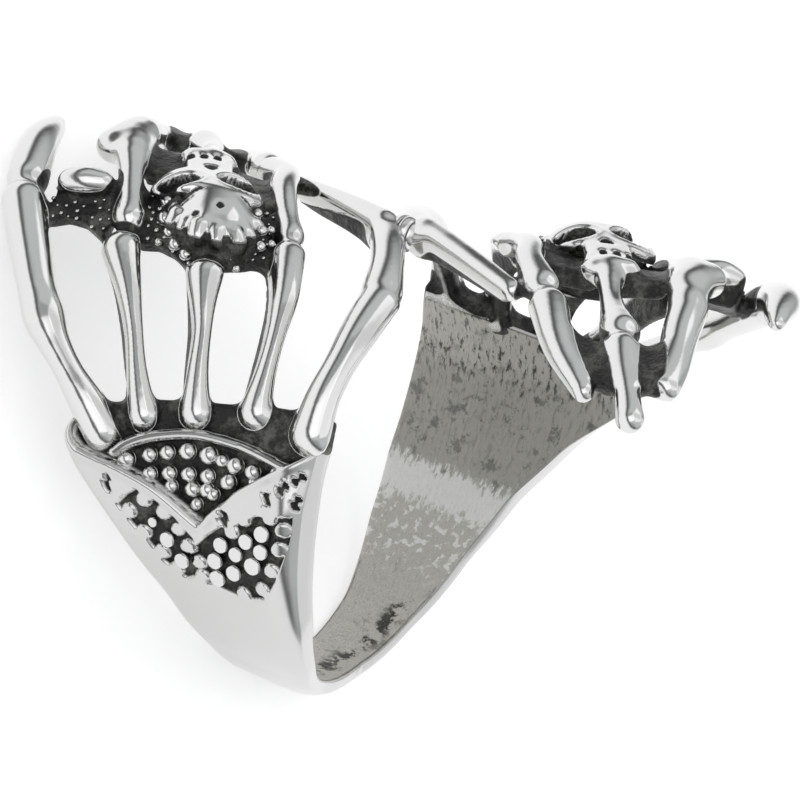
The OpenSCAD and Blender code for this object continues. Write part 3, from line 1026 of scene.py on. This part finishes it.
hand_points, hand_faces, hand_dark, hand_inner = hand_mesh()
hand_turns = np.degrees(np.arctan2(hand_points[:, 0], hand_points[:, 2]))
hand_silver = antiqued_silver("hand silver", shade=0.71, polish=0.15, mottle=0.3)
for name, places in (("hand_left", hand_points), ("hand_right", half_turn(hand_points))):
    hand = put_mesh(name, places, hand_faces, patina=hand_dark, cast=hand_inner)
    lay_out_uv(hand, hand_turns * TURN_MM, hand_points[:, 1])
    finish_piece(hand, hand_silver)

# Ball: the knob where the bars of the two hands meet, at the top of the ring. It is of the same
# silver, cast with them, and a few wrinkles run round it.
BALL_RADIUS = 0.85
BALL_RISE = 1.0
WRINKLES = 5
WRINKLE_DEPTH = 0.05
WRINKLE_HALF = 0.35


def ball_mesh():
    """A round knob whose poles point along the finger, with wrinkles round it."""
    rows, columns = np.radians(np.linspace(-90, 90, 41)), np.radians(np.arange(0, 360, 6))
    rise, turn = np.meshgrid(rows, columns, indexing="ij")
    wrinkle = np.exp(-(np.sin(WRINKLES * rise) / WRINKLE_HALF) ** 2) * np.cos(rise)
    radius = BALL_RADIUS - WRINKLE_DEPTH * wrinkle
    level = radius * np.cos(rise)
    height = HOLLOW_R + BALL_RISE + level * np.sin(turn)
    points = np.stack([level * np.cos(turn), radius * np.sin(rise), height], -1)
    faces = faces_between(*rise.shape)
    dark = 0.7 * wrinkle.ravel()
    return put_mesh("ball", points.reshape(-1, 3), faces, patina=dark, cast=0 * dark)


ball = ball_mesh()
close_up(ball.data)
finish_piece(ball, hand_silver)

# Beads: round grains of the same silver. Those between a cuff's two borders are whole and bright,
# those in the wings were polished down flat with the cuff, and finer ones stand round the skulls
# and all over the dark webs. All were cast in place on ground that is left black.

# Beads, as rows: turn off the top, place along the finger, radius
ROUND_BEADS = [
    [81.0, 4.5, 0.42], [78.8, 3.6, 0.36], [77.3, 2.9, 0.36], [75.8, 2.1, 0.40], [75.2, 1.2, 0.42],
    [75.4, 0.6, 0.30], [75.5, 0.0, 0.40], [75.4, -0.9, 0.36], [82.5, 3.4, 0.36], [81.2, 2.6, 0.35],
    [80.2, 1.8, 0.35], [79.4, 1.0, 0.35], [79.3, 0.1, 0.38], [83.7, 2.4, 0.32], [83.0, 1.5, 0.36],
    [82.3, 0.9, 0.34], [82.8, 0.6, 0.32], [85.9, 1.2, 0.30], [73.6, -1.9, 0.2], [77.4, -1.0, 0.18],
]
FLAT_BEADS = [
    [86.2, -2.3, 0.36], [92.0, -0.4, 0.35], [89.1, -1.6, 0.34], [90.0, -2.4, 0.34],
    [96.0, -0.2, 0.37], [92.7, -1.2, 0.33], [93.7, -2.1, 0.39], [99.8, -0.4, 0.38],
    [97.0, -1.2, 0.36], [91.3, 2.7, 0.22], [94.2, 2.0, 0.35], [98.2, 1.3, 0.36],
]
SKULL_BEADS = [
    [29, 8.6, 0.32], [33, 8.1, 0.33], [35.5, 7.5, 0.28], [37.5, 6.9, 0.30], [38.6, 6.2, 0.28],
    [21, 5, 0.25], [25, 4.2, 0.27], [23.6, 3.9, 0.18], [29, 3.7, 0.25], [27, 3.4, 0.16],
    [39.2, 5.2, 0.2], [38.6, 7.6, 0.17], [36.6, 3.9, 0.18], [38.2, 4.6, 0.16],
]
# How far a bead's middle lies under the hand's or the cuff's surface
ROUND_SINK, FLAT_SINK, SKULL_SINK = 0.60, 0.07, 0.72
# A flat bead is cut off at this share of its radius over its middle, and the others aren't cut
FLAT_TOP, WHOLE = 0.22, 9.0
# Fine grain of the webs: smallest and largest radius, and the least space between two
GRAIN_RADII = (0.07, 0.15)
GRAIN_SPACE = 0.34
GRAIN_TRIES = 400
GRAIN_SEED = 11


def bead_tree(silver):
    """Grains on points: each has its own size and stands along its own direction."""
    group = bpy.data.node_groups.new("beads", "GeometryNodeTree")
    kinds = {"Geometry": "Geometry", "Segments": "Int", "Rings": "Int", "Flat top": "Float"}
    named = {
        label: group.interface.new_socket(label, in_out="INPUT", socket_type="NodeSocket" + kind)
        for label, kind in kinds.items()
    }
    group.interface.new_socket("Geometry", in_out="OUTPUT", socket_type="NodeSocketGeometry")
    nodes = Nodes(group)
    given = nodes.add("NodeGroupInput", output=None)
    rounds = {"Segments": given["Segments"], "Rings": given["Rings"]}
    ball = nodes.add("GeometryNodeMeshUVSphere", {}, rounds, "Mesh")
    x, y, z = nodes.parts(nodes.add("GeometryNodeInputPosition"))
    lower = nodes.add("ShaderNodeMath", {"operation": "MINIMUM"}, {0: z, 1: given["Flat top"]})
    place = nodes.add("ShaderNodeCombineXYZ", {}, {"X": x, "Y": y, "Z": lower})
    cut = nodes.add("GeometryNodeSetPosition", {}, {"Geometry": ball, "Position": place})
    tag = "GeometryNodeInputNamedAttribute"
    size = nodes.add(tag, {"data_type": "FLOAT"}, {"Name": "size"}, "Attribute")
    way = nodes.add(tag, {"data_type": "FLOAT_VECTOR"}, {"Name": "way"}, "Attribute")
    turn = nodes.add("FunctionNodeAlignRotationToVector", {"axis": "Z"}, {"Vector": way})
    stand = nodes.add("GeometryNodeInstanceOnPoints", {}, {
        "Points": given["Geometry"], "Instance": cut, "Rotation": turn, "Scale": size,
    })
    whole = nodes.add("GeometryNodeRealizeInstances", {}, {"Geometry": stand})
    made = nodes.add("GeometryNodeSetMaterial", {}, {"Geometry": whole, "Material": silver})
    nodes.add("NodeGroupOutput", {}, {"Geometry": made}, output=None)
    return group, {label: socket.identifier for label, socket in named.items()}


def grown_beads(name, tree, sockets, rows, inputs):
    """Corners and faces of grains at a table's rows, and each corner's height in its grain."""
    outward = around(rows[:, 0], 0 * rows[:, 1], np.ones(len(rows)))
    centres = around(rows[:, 0], rows[:, 1], crest(rows[:, 0], rows[:, 1]) - rows[:, 3])
    seeds = bpy.data.meshes.new(name)
    seeds.from_pydata(centres.tolist(), [], [])
    way = seeds.attributes.new("way", "FLOAT_VECTOR", "POINT")
    way.data.foreach_set("vector", outward.astype(np.float32).ravel())
    size = seeds.attributes.new("size", "FLOAT", "POINT")
    size.data.foreach_set("value", rows[:, 2].astype(np.float32))
    carrier = put_object(name, seeds)
    grow = carrier.modifiers.new("beads", "NODES")
    grow.node_group = tree
    for label, value in inputs.items():
        grow[sockets[label]] = value
    view = bpy.context.evaluated_depsgraph_get()
    plain = bpy.data.meshes.new_from_object(carrier.evaluated_get(view))
    corners = np.array([v.co for v in plain.vertices], float)
    faces = [list(f.vertices) for f in plain.polygons]
    bpy.data.objects.remove(carrier)
    each = len(corners) // len(rows)
    middles = np.repeat(centres, each, axis=0)
    height = np.einsum("ij,ij->i", corners - middles, np.repeat(outward, each, axis=0))
    return corners, faces, height / np.repeat(rows[:, 2], each)


def sown_grains():
    """Grains strewn over the dark webs, none nearer to the next than the least space."""
    dice = np.random.default_rng(GRAIN_SEED)
    rows = []
    for corners, sink in PALM_WEBS:
        outline = np.array(corners)
        low, high = outline.min(0), outline.max(0)
        for turn, along in low + (high - low) * dice.random((GRAIN_TRIES, 2)):
            if field_distance(np.array([turn]), np.array([along]), corners)[0] > 0.05:
                continue
            spaces = [math.hypot((turn - t) * TURN_MM, along - a) for t, a, _, _ in rows]
            if not spaces or min(spaces) > GRAIN_SPACE:
                radius = GRAIN_RADII[0] + (GRAIN_RADII[1] - GRAIN_RADII[0]) * dice.random()
                rows.append([turn, along, radius, sink - WEB_HALF])
    return np.array(rows)


def sunk(rows, sink):
    rows = np.array(rows)
    return np.concatenate([rows, np.full((len(rows), 1), sink)], 1)


bead_silver = antiqued_silver("bead silver", shade=0.70, polish=0.18, mottle=0.2)
bead_nodes, bead_sockets = bead_tree(bead_silver)
BIG = {"Segments": 20, "Rings": 12, "Flat top": WHOLE}
FINE = {"Segments": 8, "Rings": 5, "Flat top": WHOLE}
# Name, rows, inputs, and the heights in a bead, as shares of its radius, where its black begins
# to thin and where it is bare silver
bead_groups = [
    ("round_beads", sunk(ROUND_BEADS, ROUND_SINK), BIG, -0.5, 0.05),
    ("flat_beads", sunk(FLAT_BEADS, FLAT_SINK), BIG | {"Flat top": FLAT_TOP}, -0.25, 0.15),
    ("skull_beads", sunk(SKULL_BEADS, SKULL_SINK), BIG, -0.45, 0.1),
    ("web_grains", sown_grains(), FINE, 0.2, 0.9),
]
for name, rows, inputs, black, bare in bead_groups:
    corners, faces, height = grown_beads(name, bead_nodes, bead_sockets, rows, inputs)
    dark = 1 - smooth_step(black, bare, height)
    count = len(corners)
    faces = faces + [[k + count for k in face] for face in faces]
    grains = put_mesh(
        name, np.concatenate([corners, half_turn(corners)]), faces,
        patina=np.concatenate([dark, dark]), cast=np.zeros(2 * count),
    )
    finish_piece(grains, bead_silver)

# Camera: it sees the ring as the photograph does, from one side and a little above, with the
# picture tilted. It is laid down together with the ring.
VIEW_TURN, VIEW_RISE, VIEW_ROLL = np.radians([61.7, 22.1, 9.7])
VIEW_DISTANCE = 154.0
VIEW_ASIDE, VIEW_UP = 1.56, 2.67
PICTURE_PIXELS = 800
PIXELS_PER_MM = 22.0
SENSOR_WIDTH = 36.0
back = np.array([
    -math.sin(VIEW_TURN) * math.cos(VIEW_RISE),
    -math.cos(VIEW_TURN) * math.cos(VIEW_RISE),
    math.sin(VIEW_RISE),
])
level = np.array([math.cos(VIEW_TURN), -math.sin(VIEW_TURN), 0.0])
upright = np.cross(back, level)
view_x = math.cos(VIEW_ROLL) * level + math.sin(VIEW_ROLL) * upright
view_y = -math.sin(VIEW_ROLL) * level + math.cos(VIEW_ROLL) * upright
eye = VIEW_DISTANCE * back + VIEW_ASIDE * view_x + VIEW_UP * view_y
origin, spot, *ends = lie(np.stack([np.zeros(3), eye, view_x, view_y, back]))
axes = [(end - origin) / MM for end in ends]
lens = bpy.data.cameras.new("camera")
lens.sensor_width = SENSOR_WIDTH
lens.lens = PIXELS_PER_MM * VIEW_DISTANCE / PICTURE_PIXELS * SENSOR_WIDTH
lens.clip_start = 0.01
camera = put_object("camera", lens)
camera.matrix_world = Matrix([*np.stack([*axes, spot], 1).tolist(), [0, 0, 0, 1]])
bpy.context.scene.camera = camera

# Floor: a sheet of pale matt paper that the ring lies on. It shines a little by itself, so that
# it stays nearly white round the ring's soft shadow.
FLOOR_HALF = 1.5
PAPER_GREYS = ((0.86, 0.86, 0.86, 1), (0.90, 0.90, 0.90, 1))
PAPER_GLOWS = ((0.95, 0.95, 0.95, 1), (1.0, 1.0, 1.0, 1))
floor_mesh = bpy.data.meshes.new("floor")
floor_corners = [(-1, -1), (1, -1), (1, 1), (-1, 1)]
floor_mesh.from_pydata(
    [(x * FLOOR_HALF, y * FLOOR_HALF, 0) for x, y in floor_corners], [], [(0, 1, 2, 3)]
)
floor = put_object("floor", floor_mesh)
pale_paper = bpy.data.materials.new("pale paper")
pale_paper.use_nodes = True
paper = Nodes(pale_paper.node_tree)
tooth = paper.noise(paper.add("ShaderNodeTexCoord", output="Object"), scale=900, detail=3)
sheet = paper.add("ShaderNodeBsdfPrincipled", {}, {
    "Base Color": paper.mix_colour(tooth, *PAPER_GREYS),
    "Roughness": 0.9,
    "Emission Color": paper.mix_colour(tooth, *PAPER_GLOWS),
    "Emission Strength": 0.45,
})
paper.add("ShaderNodeOutputMaterial", {}, {"Surface": sheet}, output=None)
floor_mesh.materials.append(pale_paper)

# Room and lamps: a bright soft room that the silver reflects, darker in a band over the horizon,
# at its top and in tall panels, and three softboxes for the shine on the bones.
ROOM_GLOW = 0.66
DUSK_FALL, TOP_FALL, PANEL_FALL = 0.58, 0.2, 0.25
# The side where the band is lighter, as a direction in the room
WINDOW_X, WINDOW_Y, WINDOW_SHARE = 0.81, -0.56, 0.6
RING_MIDDLE = Vector((0, 0, 0.01))
# Name, place, size and how bright all over
SOFTBOXES = [
    ("overhead", (0.05, 0.0, 0.36), (0.50, 0.50), 0.6),
    ("front", (-0.30, 0.05, 0.28), (0.35, 0.35), 0.75),
    ("right", (0.30, -0.22, 0.12), (0.20, 0.30), 0.5),
]
bpy.context.scene.view_settings.view_transform = "Standard"
world = bpy.data.worlds.new("studio")
bpy.context.scene.world = world
world.use_nodes = True
room = Nodes(world.node_tree)
across, ahead, rise = room.parts(room.add("ShaderNodeTexCoord", output="Generated"))
dusk = room.ramp(rise, 0.0, 0.13) - room.ramp(rise, 0.13, 0.45)
window = room.ramp(across * WINDOW_X + ahead * WINDOW_Y, 0.45, 0.8) * WINDOW_SHARE
top = room.ramp(rise, 0.7, 0.95)
stripes = room.ramp(room.sine(across * 3.0 + ahead * 4.0 + 0.8), -0.1, 0.5)
panels = stripes * room.ramp(rise, 0.2, 0.5)
glow = ROOM_GLOW - dusk * (1 - window) * DUSK_FALL - top * TOP_FALL - panels * PANEL_FALL
light = room.add("ShaderNodeBackground", {}, {"Color": (0.97, 0.98, 1.0, 1), "Strength": glow})
room.add("ShaderNodeOutputWorld", {}, {"Surface": light}, output=None)
for name, place, size, glare in SOFTBOXES:
    lamp = bpy.data.lights.new(name, "AREA")
    lamp.shape = "RECTANGLE"
    lamp.size, lamp.size_y = size
    lamp.energy = glare * math.pi * size[0] * size[1]
    box = put_object(name, lamp)
    box.location = place
    box.rotation_euler = (RING_MIDDLE - Vector(place)).to_track_quat("-Z", "Y").to_euler()

bpy.context.view_layer.update()
